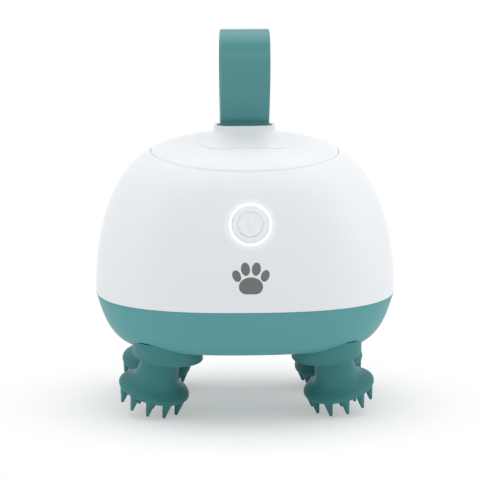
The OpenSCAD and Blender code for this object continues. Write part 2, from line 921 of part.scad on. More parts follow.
// Frame of the nibbed round: its Z axis runs up the leaning neck
module at_disc() {
    translate([disc_x, disc_y, disc_z])
        rotate([0, disc_tilt, lean_az])
            children();
}

// Rigid core inside a silicone head: turntable, shaft boss and leaning peg
module hub_shape(grow) {
    translate([0, 0, flange_top - hub_t - grow])
        cylinder(h = hub_t - 0.15 + grow, r = hub_r + grow, $fn = 64);
    translate([0, 0, flange_top - hub_t - 2.2 - grow])
        cylinder(h = 3, r = shaft_r + 2 + grow, $fn = 48);
    at_disc()
        translate([0, 0, peg_low - grow])
            rotate([0, 0, 75])
                cylinder(h = peg_top - peg_low + grow, r = peg_r + grow, $fn = 48);
}

module head_hub(sx, sy) {
    color("whitesmoke")
        at_head(sx, sy)
            difference() {
                hub_shape(0);
                translate([0, 0, flange_top - hub_t - 1.8])
                    cylinder(h = 10, r = shaft_r + press, $fn = 48);
            }
}

// Radius of the bell that runs from the round's rim up into the neck, at the height z
function bell_r(z) = neck_r + (disc_r - neck_r) / (1 + pow((z - disc_edge) / bell_half, bell_n));

// Turned profile of the nibbed round, with a thin rim, and the neck above it
module disc_profile() {
    rim_top = 0.7;
    bell_top = 9;
    polygon(concat(
        [[0, 0], [disc_r - disc_edge, 0], [disc_r, disc_edge]],
        [for (i = [0:9])
            let (z = rim_top + (bell_top - rim_top) * pow(i / 9, 1.5))
            [bell_r(z), z]],
        [[neck_r, neck_len - 1.6], [neck_r + 0.5, neck_len - 0.4], [neck_r + 1.4, neck_len + 0.4]],
        [[0, neck_len + 0.4]]
    ));
}

module nib(len) {
    tip_z = len - nib_tip_r;
    root_in = 0.6;
    translate([0, 0, -tip_z])
        cylinder(h = tip_z + root_in, r1 = nib_tip_r, r2 = nib_root_r, $fn = 16);
    translate([0, 0, -tip_z])
        sphere(r = nib_tip_r, $fn = 16);
}

module nibs() {
    inner_len = nib_len - 1.6;
    rings = [
        [nib_ring_r, nib_count, nib_len, -nib_az],
        [0.63 * nib_ring_r, 8, inner_len, 8],
        [0.28 * nib_ring_r, 4, inner_len, 10]
    ];
    for (g = rings, i = [0:g[1] - 1])
        rotate([0, 0, g[3] + 360 * i / g[1]])
            translate([g[0], 0, 0])
                nib(g[2]);
}

// Upper round: a short upright wall that ends in a leaning rim with a soft lip
module flange() {
    intersection() {
        translate([0, 0, flange_z - 4])
            cylinder(h = flange_top - flange_z + 4, r = flange_r, $fn = 96);
        translate([0, 0, flange_z])
            rotate([0, flange_tilt, lean_az])
                translate([-20, -20, 0])
                    cube([40, 40, 20]);
    }
    translate([0, 0, flange_z])
        rotate([0, flange_tilt, lean_az])
            rotate_extrude($fn = 96)
                polygon(concat(
                    [[flange_r - 3, 0.6], [flange_r - 1.4, -0.2]],
                    [for (a = [-60:30:60]) [flange_r - 0.45 + 0.5 * cos(a), 0.3 + 0.5 * sin(a)]],
                    [[flange_r - 3, 1.2]]
                ));
}

module massage_head(sx, sy) {
    color(teal)
        at_head(sx, sy)
            difference() {
                union() {
                    flange();
                    at_disc() {
                        rotate_extrude($fn = 96)
                            disc_profile();
                        nibs();
                    }
                }
                hub_shape(touch);
                translate([0, 0, flange_top - 0.3])
                    cylinder(h = 5, r = hub_r + touch, $fn = 64);
                translate([0, 0, flange_top])
                    cylinder(h = 5, r = 2 * flange_r, $fn = 64);
            }
}

// Places at the gearhead's two screw ears
module at_motor_ears() {
    translate([motor_x, motor_y, 0])
        for (a = [ear_az, ear_az + 180])
            rotate([0, 0, a])
                translate([ear_x, 0, 0])
                    children();
}

module motor_gearhead() {
    color("silver")
        difference() {
            union() {
                translate([motor_x, motor_y, plate_top])
                    cylinder(h = gearhead_h, r = motor_r, $fn = 64);
                translate([motor_x, motor_y, plate_z + touch])
                    cylinder(h = plate_t, r = pilot_r, $fn = 48);
                translate([motor_x, motor_y, plate_top])
                    rotate([0, 0, ear_az])
                        linear_extrude(ear_t)
                            stadium(2 * (ear_x + ear_r), 2 * ear_r);
            }
            translate([motor_x, motor_y, plate_z - 1])
                cylinder(h = plate_t + 10, r = shaft_r + run_gap, $fn = 48);
            at_motor_ears()
                translate([0, 0, plate_top - 1])
                    cylinder(h = 5, r = screw_r + 0.1, $fn = 24);
        }
}

module motor_can() {
    can_r = motor_r - 0.5;
    color([0.62, 0.64, 0.66])
        translate([motor_x, motor_y, plate_top + gearhead_h]) {
            cylinder(h = motor_h - 1.6, r = can_r, $fn = 64);
            translate([0, 0, motor_h - 1.6 - eps])
                cylinder(h = 0.8, r = can_r - 0.9, $fn = 64);
            translate([0, 0, motor_h - 1.6])
                cylinder(h = 1.6, r = 2.6, $fn = 32);
        }
}

module motor_screws() {
    color(steel)
        at_motor_ears()
            translate([0, 0, plate_top + ear_t])
                screw(ear_t + plate_t - 0.2, pilot = true);
}

module output_shaft() {
    color(steel)
        translate([motor_x, motor_y, gear_z])
            cylinder(h = plate_top + 7 - gear_z, r = shaft_r, $fn = 48);
}

module motor_pinion() {
    color([0.80, 0.66, 0.40])
        translate([pinion_x, pinion_y, 0])
            gear(pinion_teeth, pinion_turn, shaft_r + press, 0);
}

module battery_cell() {
    color([0.16, 0.42, 0.70])
        translate([-cell_len / 2, cell_y, cell_z])
            rotate([0, 90, 0]) {
                cylinder(h = cell_len - 1.2, r = cell_r, $fn = 64);
                cylinder(h = cell_len, r = 3, $fn = 32);
            }
}

// Tray screwed to the gear plate, with a contact wall at each end of the cell
module battery_cradle() {
    tray_d = 19;
    tray_h = 6;
    end_t = 1.5;
    tray_l = cell_len + 2 * end_t + 2 * touch;
    color([0.20, 0.20, 0.22])
        difference() {
            union() {
                translate([-tray_l / 2, cell_y - tray_d / 2, plate_top])
                    cube([tray_l, tray_d, tray_h]);
                for (s = [0, 1])
                    translate([s == 0 ? -tray_l / 2 : tray_l / 2 - end_t, cell_y - tray_d / 2 + 1, plate_top])
                        cube([end_t, tray_d - 2, tray_h + 7]);
            }
            translate([-cell_len / 2 - touch, cell_y, cell_z])
                rotate([0, 90, 0])
                    cylinder(h = cell_len + 2 * touch, r = cell_r + touch, $fn = 64);
        }
}

module charge_board() {
    board_len = 5.8;
    rear_y = cover_y - cover_t - 0.8 - socket_len - 2;
    color("seagreen")
        translate([-7, rear_y, socket_z - socket_t / 2 - board_t])
            cube([14, board_len, board_t]);
}

module charge_socket() {
    shell_t = 0.4;
    color(steel)
        at_socket()
            translate([0, 0, -cover_t - 0.8 - socket_len])
                difference() {
                    linear_extrude(socket_len)
                        stadium(socket_w, socket_t);
                    translate([0, 0, 1])
                        linear_extrude(socket_len)
                            difference() {
                                stadium(socket_w - 2 * shell_t, socket_t - 2 * shell_t);
                                square([6.6, 0.7], center = true);
                            }
                }
}

module port_cover() {
    color(white)
        at_socket() {
            translate([0, 0, -cover_t])
                linear_extrude(cover_t)
                    stadium(cover_w, cover_h);
            translate([0, 0, -cover_t - 0.6])
                linear_extrude(1)
                    stadium(socket_w - 1.6, socket_t - 1.2);
        }
}

upper_housing();
top_panel();
strap_loop();
strap_clamp();
clamp_screws();
power_button();
light_ring();
circuit_board();
tact_switch();
ring_leds();
board_screws();
housing_gasket();
lower_housing();
gear_plate();
plate_screws();
housing_screws();
shaft_bushes();
shaft_seals();
thrust_washers();
transfer_axles();
left_transfer_gear();
right_transfer_gear();
head_gear(-1, -1);  // head_gear_fl
head_gear(1, -1);  // head_gear_fr
head_gear(-1, 1);  // head_gear_rl
head_gear(1, 1);  // head_gear_rr
drive_shaft(-1, -1);  // drive_shaft_fl
drive_shaft(1, -1);  // drive_shaft_fr
drive_shaft(-1, 1);  // drive_shaft_rl
drive_shaft(1, 1);  // drive_shaft_rr
head_hub(-1, -1);  // head_hub_fl
head_hub(1, -1);  // head_hub_fr
head_hub(-1, 1);  // head_hub_rl
head_hub(1, 1);  // head_hub_rr
massage_head(-1, -1);  // massage_head_fl
massage_head(1, -1);  // massage_head_fr
massage_head(-1, 1);  // massage_head_rl
massage_head(1, 1);  // massage_head_rr
motor_gearhead();
motor_can();
motor_screws();
output_shaft();
motor_pinion();
battery_cell();
battery_cradle();
charge_board();
charge_socket();
port_cover();
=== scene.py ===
import math
import bmesh
import bpy
import numpy as np
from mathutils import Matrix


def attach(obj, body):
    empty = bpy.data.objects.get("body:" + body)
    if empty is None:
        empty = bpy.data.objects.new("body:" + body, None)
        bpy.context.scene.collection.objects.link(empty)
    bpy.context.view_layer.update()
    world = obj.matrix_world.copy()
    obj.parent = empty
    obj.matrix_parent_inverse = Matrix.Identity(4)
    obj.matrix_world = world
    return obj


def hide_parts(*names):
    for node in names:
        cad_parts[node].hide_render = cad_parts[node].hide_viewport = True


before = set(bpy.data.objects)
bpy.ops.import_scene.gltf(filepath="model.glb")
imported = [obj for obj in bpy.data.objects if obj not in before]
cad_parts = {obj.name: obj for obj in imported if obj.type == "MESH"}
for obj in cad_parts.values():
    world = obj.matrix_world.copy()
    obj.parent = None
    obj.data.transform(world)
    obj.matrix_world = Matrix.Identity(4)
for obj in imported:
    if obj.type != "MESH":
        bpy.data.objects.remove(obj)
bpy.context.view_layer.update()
scene = bpy.context.scene
scene.view_settings.view_transform = "Standard"


# LOWER HOUSING
# Bowl of teal ABS, moulded in one piece with a rounded corner and a level underside.
# The heads' upper rounds stand in four shallow wells, and four screws come up through
# deep holes between them to hold the dome.
def bearings(count):
    """Angles of count points spread evenly round a full turn."""
    return np.linspace(0, 2 * np.pi, count + 1)[:-1]


HALF_W, HALF_D, PLAN_N = 50.0, 43.0, 2.5
SEAM, FLOOR = 40.0, 23.6
HEAD_X, HEAD_Y = 26.4, 19.3052
TONGUE_IN, TONGUE_OUT, TONGUE_TOP = 3.6, 2.6, 43.0
DRAFT, CORNER, BELLY, BOWL_EDGE = 4.55, 6.9, 0.648, 0.15
WELL_R, WELL_TOP = 11.66, 3.6
SCREW_HOLE_R, SCREW_HOLE_TOP, SCREW_CIRCLE_R = 2.6, 3.4, 28.3
THROUGH = -6.0
SHARP = math.radians(40)
phi = bearings(240)


def moulded(name, colour, rough, spread=0.03, grain=900.0, relief=0.02, metal=0.0, gleam=0.5):
    """Surface of a moulded or machined part.

    A cloudy noise moves the colour by the share spread and the gloss by 0.04, and a
    finer noise of the scale grain is its relief. Gleam is its level of reflection.
    """
    mat = bpy.data.materials.new(name)
    mat.use_nodes = True
    tree = mat.node_tree
    surface = tree.nodes["Principled BSDF"]
    surface.inputs["Metallic"].default_value = metal
    surface.inputs["Specular IOR Level"].default_value = gleam
    where = tree.nodes.new("ShaderNodeTexCoord")
    cloud = tree.nodes.new("ShaderNodeTexNoise")
    cloud.inputs["Scale"].default_value = 45.0
    cloud.inputs["Detail"].default_value = 3.0
    tree.links.new(where.outputs["Object"], cloud.inputs["Vector"])
    tint = tree.nodes.new("ShaderNodeMix")
    tint.data_type = "RGBA"
    tint.inputs["A"].default_value = (*[c * (1 - spread) for c in colour], 1)
    tint.inputs["B"].default_value = (*[min(1, c * (1 + spread)) for c in colour], 1)
    tree.links.new(cloud.outputs["Fac"], tint.inputs["Factor"])
    tree.links.new(tint.outputs["Result"], surface.inputs["Base Color"])
    gloss = tree.nodes.new("ShaderNodeMapRange")
    gloss.inputs["To Min"].default_value = max(0.02, rough - 0.04)
    gloss.inputs["To Max"].default_value = rough + 0.04
    tree.links.new(cloud.outputs["Fac"], gloss.inputs["Value"])
    tree.links.new(gloss.outputs["Result"], surface.inputs["Roughness"])
    fine = tree.nodes.new("ShaderNodeTexNoise")
    fine.inputs["Scale"].default_value = grain
    fine.inputs["Detail"].default_value = 2.0
    tree.links.new(where.outputs["Object"], fine.inputs["Vector"])
    bump = tree.nodes.new("ShaderNodeBump")
    bump.inputs["Strength"].default_value = relief
    bump.inputs["Distance"].default_value = 0.0002
    tree.links.new(fine.outputs["Fac"], bump.inputs["Height"])
    tree.links.new(bump.outputs["Normal"], surface.inputs["Normal"])
    return mat


def soften(mesh):
    """Smooth shading, broken where two faces meet at more than the angle SHARP."""
    mesh.shade_smooth()
    mesh.set_sharp_from_angle(angle=SHARP)


def piece(name, grids, mat, body=None, stands_for=(), caps=()):
    """One piece from grids of points in mm, with a face between each four neighbours.

    Each grid is (points, closed in rows, closed in columns), and caps are (grid, row)
    pairs, each a row of a grid that is closed by one flat face.
    """
    points, faces, starts = [], [], []
    for pts, wrap_r, wrap_c in grids:
        pts = np.asarray(pts, float)
        nr, nc = pts.shape[:2]
        starts.append(sum(len(p) for p in points))
        points.append(pts.reshape(-1, 3))
        i = np.arange(nr if wrap_r else nr - 1)[:, None]
        j = np.arange(nc if wrap_c else nc - 1)[None, :]
        i2, j2 = (i + 1) % nr, (j + 1) % nc
        corners = (i * nc + j, i * nc + j2, i2 * nc + j2, i2 * nc + j)
        quad = np.stack(np.broadcast_arrays(*corners), -1)
        faces += (quad.reshape(-1, 4) + starts[-1]).tolist()
    for grid, row in caps:
        nr, nc = np.asarray(grids[grid][0]).shape[:2]
        faces.append((starts[grid] + (row % nr) * nc + np.arange(nc)).tolist())
    mesh = bpy.data.meshes.new(name)
    mesh.from_pydata((np.concatenate(points) * 0.001).tolist(), [], faces)
    work = bmesh.new()
    work.from_mesh(mesh)
    bmesh.ops.remove_doubles(work, verts=work.verts, dist=1e-7)
    bmesh.ops.recalc_face_normals(work, faces=work.faces)
    work.to_mesh(mesh)
    work.free()
    mesh.materials.append(mat)
    obj = bpy.data.objects.new(name, mesh)
    scene.collection.objects.link(obj)
    soften(mesh)
    if body:
        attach(obj, body)
    if stands_for:
        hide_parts(*stands_for)
    return obj


def reach(inset=0.0):
    """Radius of the plan outline, a superellipse, at every bearing phi."""
    c, s = np.abs(np.cos(phi)), np.abs(np.sin(phi))
    return ((c / (HALF_W - inset)) ** PLAN_N + (s / (HALF_D - inset)) ** PLAN_N) ** (-1 / PLAN_N)


def ring(radius, z):
    """Closed row of points at the bearings phi, with a radius and a height for each."""
    radius, z = np.broadcast_to(radius, phi.shape), np.broadcast_to(z, phi.shape)
    return np.stack([radius * np.cos(phi), radius * np.sin(phi), z], -1)


def turned(profile, origin, axis=(0, 0, 1), side=(1, 0, 0), count=96):
    """Turned shape: each (radius, height) of the profile goes round the axis through origin."""
    a = bearings(count)
    axis, side, p = np.array(axis, float), np.array(side, float), np.array(profile, float)
    flat = np.cos(a)[:, None] * side + np.sin(a)[:, None] * np.cross(axis, side)
    return np.array(origin, float) + p[:, 0, None, None] * flat[None] + p[:, 1, None, None] * axis


def arc(cx, cz, r, a0, a1, count=6):
    """Points of a round in a profile, from the angle a0 to a1 in degrees."""
    t = np.radians(np.linspace(a0, a1, count))
    return [(cx + r * math.cos(v), cz + r * math.sin(v)) for v in t]


def carve(obj, mat, cutters):
    """Cuts closed shapes out of a piece; each is one grid whose ends are capped."""
    for grid in cutters:
        cut = piece("cutter", [(grid, False, True)], mat, caps=[(0, 0), (0, -1)])
        mod = obj.modifiers.new("cut", "BOOLEAN")
        mod.operation, mod.solver, mod.object = "DIFFERENCE", "EXACT", cut
        with bpy.context.temp_override(object=obj, active_object=obj, selected_objects=[obj]):
            bpy.ops.object.modifier_apply(modifier=mod.name)
        bpy.data.objects.remove(cut)
    soften(obj.data)


teal_abs = moulded("teal_abs", (0.108, 0.340, 0.353), 0.42, relief=0.03, gleam=0.15)
full = reach()
rows = [ring(full - TONGUE_IN, TONGUE_TOP), ring(full - TONGUE_OUT, TONGUE_TOP)]
rows += [ring(full - TONGUE_OUT, SEAM), ring(full - 0.2, SEAM)]
for a in np.radians([20, 45, 70, 90]):
    rows.append(ring(full + BOWL_EDGE * (math.sin(a) - 1), SEAM + BOWL_EDGE * (math.cos(a) - 1)))
for a in np.radians(np.linspace(3, 90, 48)):
    u = math.sin(a) ** BELLY
    rows.append(ring(reach(DRAFT * u + CORNER * (1 - math.cos(a))), SEAM - (SEAM - FLOOR) * u))
rows += [ring(reach(DRAFT + CORNER) * k, FLOOR) for k in (0.95, 0.85, 0.7, 0.55, 0.4, 0.2, 0.02)]
bowl = piece("lower_shell", [(rows, False, True)], teal_abs, "base",
             ["lower_housing"])
wells = [turned([(WELL_R, WELL_TOP), (WELL_R, THROUGH)], (sx * HEAD_X, sy * HEAD_Y, FLOOR),
                count=128) for sx in (-1, 1) for sy in (-1, 1)]
holes = []
for a in np.radians([65, 115, 245, 295]):
    foot = (SCREW_CIRCLE_R * math.cos(a), SCREW_CIRCLE_R * math.sin(a), FLOOR)
    holes.append(turned([(SCREW_HOLE_R, SCREW_HOLE_TOP), (SCREW_HOLE_R, THROUGH)], foot, count=48))
carve(bowl, teal_abs, wells + holes)


# BEARINGS, WASHERS AND AXLES
# Each drive shaft turns in a flanged bush of oil-filled bronze above a black rubber
# seal. Black nylon washers carry the gears, and two ground steel axles stand pressed
# in the lower housing.
def wear(mat, *nodes):
    """Gives the material to the model's own pieces, whose shape stays as it is."""
    for node in nodes:
        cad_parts[node].data.materials.clear()
        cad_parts[node].data.materials.append(mat)


def at_heads(stem):
    """The four names that begin with stem, one for each head."""
    return [stem + corner for corner in ("fl", "fr", "rl", "rr")]


sintered_bronze = moulded("sintered_bronze", (0.45, 0.24, 0.09), 0.48,
                          grain=3000, relief=0.1, metal=1.0)
wear(sintered_bronze, "shaft_bushes")
wear(moulded("seal_rubber", (0.015, 0.015, 0.017), 0.6), "shaft_seals")
black_nylon = moulded("black_nylon", (0.02, 0.02, 0.022), 0.5, relief=0.05)
wear(black_nylon, "thrust_washers")
ground_steel = moulded("ground_steel", (0.55, 0.56, 0.58), 0.28, grain=2500, metal=1.0)
wear(ground_steel, "transfer_axles", "output_shaft", *at_heads("drive_shaft_"))

# GEARS
# Involute spur gears moulded in ivory acetal, with a thin web between hub and rim and
# round holes through it. The small brass pinion is hobbed.
wear(moulded("acetal", (0.82, 0.80, 0.72), 0.4),
     "left_transfer_gear", "right_transfer_gear", *at_heads("head_gear_"))
hobbed_brass = moulded("hobbed_brass", (0.60, 0.42, 0.16), 0.33, grain=2500, metal=1.0)
wear(hobbed_brass, "motor_pinion")

# GEAR PLATE, HUBS AND SCREWS
# Moulded grey plate that holds the upper ends of the shafts, grey hubs in the heads, and
# plated pan-head screws with a hexagon recess throughout the unit.
grey_abs = moulded("grey_abs", (0.60, 0.61, 0.63), 0.45, relief=0.05)
wear(grey_abs, "gear_plate", "strap_clamp", *at_heads("head_hub_"))
plated = moulded("plated_screws", (0.62, 0.62, 0.60), 0.3, grain=2500, metal=1.0)
wear(plated, "plate_screws", "housing_screws", "motor_screws", "clamp_screws", "board_screws")

# MOTOR AND CELL
# Drawn steel gear motor with two ears, and a lithium cell in a blue shrink sleeve that
# lies in a black tray with a contact wall at each end.
drawn_steel = moulded("drawn_steel", (0.5, 0.52, 0.54), 0.3, grain=2500, metal=1.0)
wear(drawn_steel, "motor_gearhead", "motor_can")
wear(moulded("shrink_sleeve", (0.03, 0.16, 0.45), 0.3, relief=0.04), "battery_cell")
wear(black_nylon, "battery_cradle")

# BOARDS AND CHARGING SOCKET
# Green boards with a black key switch and four white lamps behind the button, and a
# drawn steel socket at the back.
solder_mask = moulded("solder_mask", (0.02, 0.12, 0.05), 0.35, relief=0.04)
wear(solder_mask, "circuit_board", "charge_board")
wear(black_nylon, "tact_switch")
wear(moulded("lamp_resin", (0.85, 0.85, 0.75), 0.3), "ring_leds")
wear(ground_steel, "charge_socket")

# SEAM GASKET
# Grey silicone cord pressed between the two housings, behind the lip of the upper one.
# It keeps its own shape and only gets its finish here.
wear(moulded("grey_silicone", (0.45, 0.55, 0.58), 0.5), "housing_gasket")

# UPPER HOUSING
# Dome of white ABS with a soft gloss. A thin lip reaches down over the gasket to the
# lower housing, and its upper edge turns down round the opening of the top panel. At the
# back the pocket of the socket's cover has a relief below the hinge edge.
RIM, CROWN = 40.3, 91.6
DOME, SIDE_N, TOP_N = CROWN - RIM, 3.7, 2.07
WALL, LIP, LIP_EDGE = 2.4, 0.6, 0.12
BUTTON = np.array([0, -39.2332, 68.4])
TILT = math.radians(17.507)
OUT = np.array([0, -math.cos(TILT), math.sin(TILT)])
UP = np.array([0, math.sin(TILT), math.cos(TILT)])
SIDE = np.array([1.0, 0, 0])
BORE_R = 7.16
COVER_Y, SOCKET_Z = 42.273, 49.0
POCKET_W, POCKET_H, POCKET_DEPTH, RELIEF = 13.5, 7.9, 1.35, 0.6
POCKET_MOUTH = 0.25
PLUG_W, PLUG_H, PLUG_DEPTH = 9.2, 3.5, 3.5
PANEL_W, PANEL_D, PANEL_N = 31.41, 30.23, 2.49


def dome_z(x, y):
    """Height of the dome's face over x, y: a superellipse of the plan's share k."""
    k = ((np.abs(x) / HALF_W) ** PLAN_N + (np.abs(y) / HALF_D) ** PLAN_N) ** (1 / PLAN_N)
    return RIM + DOME * np.maximum(0, 1 - k ** SIDE_N) ** (1 / TOP_N)


def face_y(x, z):
    """Depth of the dome's face at x, z, as a positive number."""
    k = (1 - (np.maximum(z - RIM, 0) / DOME) ** TOP_N) ** (1 / SIDE_N)
    return HALF_D * (k ** PLAN_N - (np.abs(x) / HALF_W) ** PLAN_N) ** (1 / PLAN_N)


def squarish(a, b, n, t):
    """Superellipse outline of half sizes a and b and the exponent n, at the bearings t."""
    c, s = np.cos(t), np.sin(t)
    k = (np.abs(c / a) ** n + np.abs(s / b) ** n) ** (-1 / n)
    return c * k, s * k


def stadium(w, h, count=12):
    """Flat outline with full round ends."""
    a = np.radians(np.linspace(-90, 90, count))
    right = np.stack([(w - h) / 2 + h / 2 * np.cos(a), h / 2 * np.sin(a)], -1)
    return np.concatenate([right, -right])


def port(w, h, depth, drop=0.0):
    """Stadium ring at the socket, sunk to depth below its cover's face and lowered by drop."""
    s = stadium(w, h)
    return np.stack([s[:, 0], np.full(len(s), COVER_Y - depth), SOCKET_Z - drop + s[:, 1]], -1)


def fade(tree, distance, start, end, near, far):
    """Smooth step from near to far while the distance goes from start to end, in metres."""
    step = tree.nodes.new("ShaderNodeMapRange")
    step.interpolation_type = "SMOOTHSTEP"
    ends = {"From Min": start, "From Max": end, "To Min": near, "To Max": far}
    for name, value in ends.items():
        step.inputs[name].default_value = value
    tree.links.new(distance, step.inputs["Value"])
    return step.outputs["Result"]


# Painted glow: the dome's own surface gives off a faint white light that fades out within 9.2 mm
# of the button's middle, where the ring's light would spill over it.
white_abs = moulded("white_abs", (0.81, 0.836, 0.868), 0.32,
                    spread=0.008, relief=0.01, gleam=0.3)
tree = white_abs.node_tree
spot = tree.nodes.new("ShaderNodeVectorMath")
spot.operation = "DISTANCE"
spot.inputs[1].default_value = BUTTON * 0.001
tree.links.new(tree.nodes["Texture Coordinate"].outputs["Object"], spot.inputs[0])
painted_glow = fade(tree, spot.outputs["Value"], 0.0070, 0.0092, 0.09, 0.0)
tree.links.new(painted_glow, tree.nodes["Principled BSDF"].inputs["Emission Color"])
tree.nodes["Principled BSDF"].inputs["Emission Strength"].default_value = 1.0

rows = [ring(full - WALL, RIM + 3), ring(full - WALL, RIM)]
rows += [ring(full - LIP, RIM), ring(full - LIP, SEAM + 0.04)]
for a in np.radians([0, 25, 50, 75, 90]):
    lip_z = SEAM + 0.04 + LIP_EDGE * (1 - math.cos(a))
    rows.append(ring(full + LIP_EDGE * (math.sin(a) - 1), lip_z))

# The rows lie evenly along the dome's front line, from the seam to the panel's edge.
panel_r = np.hypot(*squarish(PANEL_W, PANEL_D, PANEL_N, phi))
FRONT = len(phi) * 3 // 4
share = np.linspace(0, 1, 400)
top = np.arccos((panel_r / full) ** (SIDE_N / 2))
front_y = np.cos(share * top[FRONT]) ** (2 / SIDE_N) * full[FRONT]
front_z = DOME * np.sin(share * top[FRONT]) ** (2 / TOP_N)
run = np.r_[0, np.cumsum(np.hypot(np.diff(front_y), np.diff(front_z)))]
for s in np.interp(np.linspace(0.3, run[-1] - 0.25, 72), run, share):
    dome_r = np.cos(s * top) ** (2 / SIDE_N) * full
    rows.append(ring(dome_r, RIM + DOME * np.sin(s * top) ** (2 / TOP_N)))
edge = dome_z(panel_r * np.cos(phi), panel_r * np.sin(phi))
for wider, drop in [(0.1, 0.05), (0.02, 0.14), (0, 0.28), (0, 1.6), (2, 3.2)]:
    rows.append(ring(panel_r + wider, edge - drop))
shell = piece("upper_shell", [(rows, False, True)], white_abs, "base",
              ["upper_housing"])
bore = turned([(BORE_R, -5.5), (BORE_R, 3)], BUTTON, OUT, SIDE)
pocket = [port(POCKET_W, POCKET_H, depth) for depth in (5, -3)]
hinge_relief = [port(POCKET_W, POCKET_H, depth, RELIEF) for depth in (POCKET_MOUTH, -3)]
carve(shell, white_abs, [bore, pocket, hinge_relief])
recess = [port(POCKET_W, POCKET_H, depth) for depth in (POCKET_MOUTH, POCKET_DEPTH)]
recess += [port(PLUG_W, PLUG_H, depth) for depth in (POCKET_DEPTH, PLUG_DEPTH)]
piece("socket_recess", [(recess, False, True)], white_abs, "base")

# TOP PANEL
# Panel of the same white ABS that goes on the dome's curve. Its outline is a softly
# squared round with a hairline gap. In its middle a flared foot rises to the collar
# that grips the strap.
PANEL_GAP = 0.12
COLLAR_TOP, COLLAR_ROUND = 95.5, 0.5
COLLAR_W, COLLAR_D, COLLAR_N = 10.3, 4.7, 3.8
FOOT_W, FOOT_D, FOOT_N = 15.5, 20.0, 5.0
FOOT_CURVE, FOOT_LIFT = 3.8, 0.27
panel_edge = panel_r - PANEL_GAP
panel = []
for inset, drop in [(0, 1.2), (0, 0.24), (0.04, 0.12), (0.12, 0.04), (0.28, 0.0)]:
    r = panel_edge - inset
    panel.append(ring(r, dome_z(r * np.cos(phi), r * np.sin(phi)) - drop))
for k in np.linspace(0.978, 0.02, 52):
    r = panel_edge * k
    panel.append(ring(r, dome_z(r * np.cos(phi), r * np.sin(phi))))

# The foot goes over into the collar along a tight hollow curve.
round_foot = bearings(160)
x, y = squarish(FOOT_W, FOOT_D, FOOT_N, round_foot)
foot = [np.stack([x, y, dome_z(x, y) - 0.3], -1)]
for s in np.linspace(0, 1, 34):
    w = 1 - (1 - s) ** 2.2
    rise = 1 - (1 - w ** FOOT_CURVE) ** (1 / FOOT_CURVE)
    half_w, half_d = FOOT_W + (COLLAR_W - FOOT_W) * w, FOOT_D + (COLLAR_D - FOOT_D) * w
    x, y = squarish(half_w, half_d, FOOT_N + (COLLAR_N - FOOT_N) * w, round_foot)
    low = dome_z(x, y) + FOOT_LIFT
    foot.append(np.stack([x, y, low + (COLLAR_TOP - COLLAR_ROUND - low) * rise], -1))
for r, drop in [(0.02, 0.35), (0.1, 0.18), (0.24, 0.06), (0.42, 0), (0.9, 0), (1.1, 0.08),
                (1.25, 0.25), (1.3, 0.5), (1.3, 3.5)]:
    x, y = squarish(COLLAR_W - r, COLLAR_D - r, COLLAR_N + 2.5 * min(1, r), round_foot)
    foot.append(np.stack([x, y, np.full_like(x, COLLAR_TOP - drop)], -1))
piece("top_panel_collar", [(panel, False, True), (foot, False, True)], white_abs, "base",
      ["top_panel"])

# STRAP
# Band of teal silicone, 16.4 mm wide and 2.1 mm thick, moulded as a drop-shaped loop
# whose two runs close into one stem in the collar. Its edges are softly rounded.
STRAP_W, STRAP_T, STRAP_TOP, STRAP_ROOT, STRAP_EDGE = 16.4, 2.1, 127.3, 91.0, 0.5
LOOP_HALF = 8.75
teal_silicone = moulded("teal_silicone", (0.064, 0.255, 0.262), 0.30, relief=0.04)

# The middle line leaves the stem and swings out. The loop's outer half depth is made up
# of 0.74 of bulge, where the swing is widest, and 0.75 of the band's thickness.
bulge = (LOOP_HALF - 0.75 * STRAP_T) / 0.74
t = np.radians(np.linspace(0, 180, 91))
stem_top = COLLAR_TOP + 1
mid_y = STRAP_T / 2 * np.cos(t / 2) + bulge * np.sin(t) * np.sin(t / 2) ** 1.2
mid_z = stem_top + (STRAP_TOP - STRAP_T / 2 - stem_top) * (1 - np.cos(t)) / 2
mid_y = np.r_[np.full(6, STRAP_T / 2), mid_y]
mid_z = np.r_[np.linspace(STRAP_ROOT, stem_top - 0.5, 6), mid_z]
mid_y, mid_z = np.r_[mid_y, -mid_y[-2::-1]], np.r_[mid_z, mid_z[-2::-1]]
along_y, along_z = np.gradient(mid_y), np.gradient(mid_z)
step = np.hypot(along_y, along_z)
out_y, out_z = along_z / step, -along_y / step

# One quarter of the band's section is mirrored to the other three.
half_t, half_w = STRAP_T / 2, STRAP_W / 2
corner = np.array(arc(half_w - STRAP_EDGE, half_t - STRAP_EDGE, STRAP_EDGE, 0, 90, 6))
flank = np.array([(half_w * k, half_t) for k in (0.6, 0.2)])
quarter = np.concatenate([corner, flank])
section = np.concatenate([quarter, quarter[::-1] * [-1, 1],
                          quarter * [-1, -1], quarter[::-1] * [1, -1]])
across, lift = section[:, 0], section[:, 1]
band = np.stack([np.broadcast_to(across, (len(mid_y), len(section))),
                 mid_y[:, None] + out_y[:, None] * lift,
                 mid_z[:, None] + out_z[:, None] * lift], -1)
piece("strap_band", [(band, False, True)], teal_silicone, "base",
      ["strap_loop"], caps=[(0, 0), (0, -1)])


# POWER BUTTON AND LIT RING
# Satin white cap with a dished eye, a raised upright bar as the plain on-off mark, and
# a milky ring round it that is lit from behind. All of them follow the dome's face.
def on_face(u, v, lift):
    """Points of the dome's face round the button, u to the right and v upwards.

    Each goes out along the button's axis by w, which is moved by 0.8 of what is still
    missing to the face until it lies on it, and then it is raised by lift.
    """
    w = np.zeros_like(u)
    for _ in range(20):
        p = BUTTON + u[..., None] * SIDE + v[..., None] * UP + w[..., None] * OUT
        w = w + 0.8 * (p[..., 1] + face_y(p[..., 0], p[..., 2]))
    return BUTTON + u[..., None] * SIDE + v[..., None] * UP + (w + lift)[..., None] * OUT


